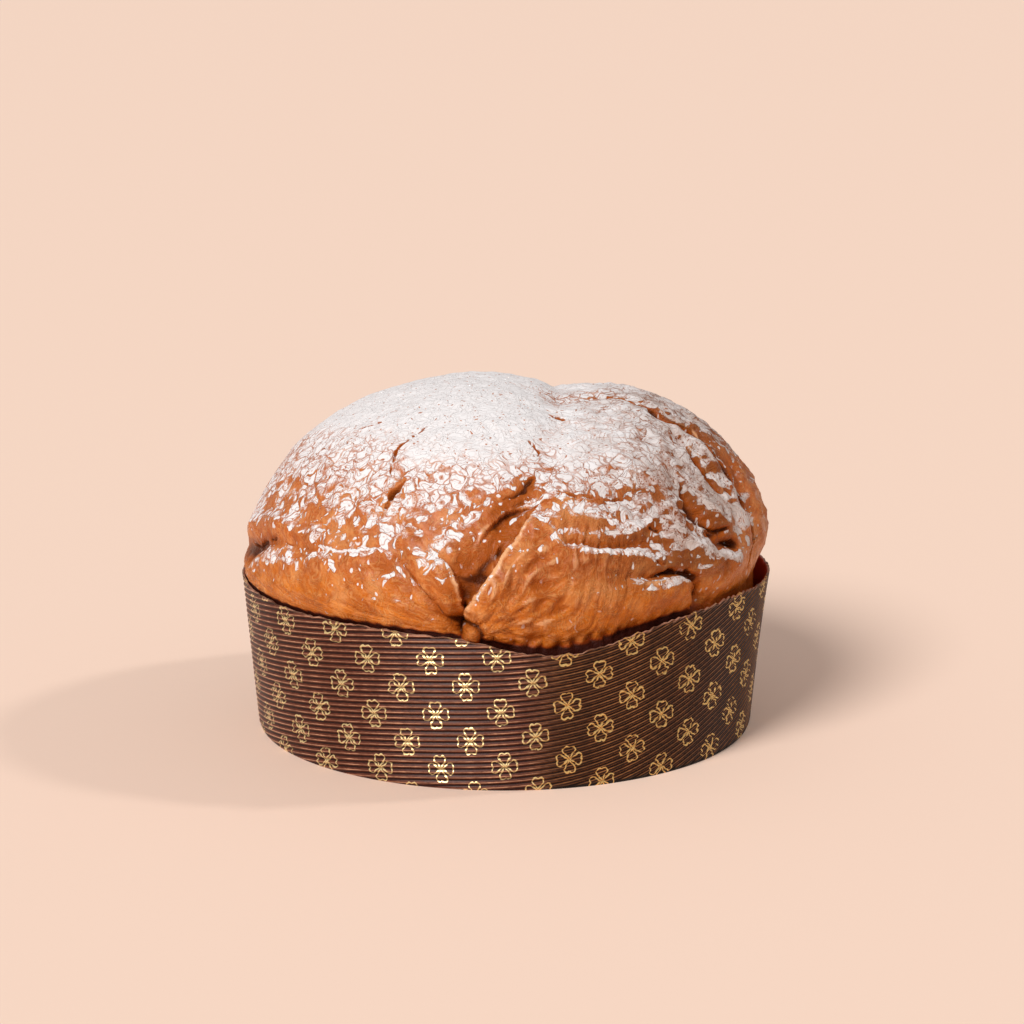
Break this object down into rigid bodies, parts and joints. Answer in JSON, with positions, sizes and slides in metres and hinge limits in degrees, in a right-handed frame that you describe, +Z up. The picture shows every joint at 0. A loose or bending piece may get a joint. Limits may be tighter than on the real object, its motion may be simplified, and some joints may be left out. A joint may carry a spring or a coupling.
{
  "type": "panettone in a paper baking case",
  "caption": "Low round panettone with a cross-split, sugar-dusted dome, standing in its ribbed round paper baking case.",
  "frame": {"origin": "centre of the paper case's underside, on the surface that the panettone stands on", "axes": "+Z up through the loaf, -Y towards the front, where the rim dips and the front split comes down, +X to the right"},
  "size_m": [0.22, 0.2203, 0.1432],
  "materials": {
    "crust": "satin",
    "case_paper": "matte"
  },
  "bodies": {
    "root": {"loaf": "crust", "paper_case": "case_paper"}
  },
  "joints": []
}
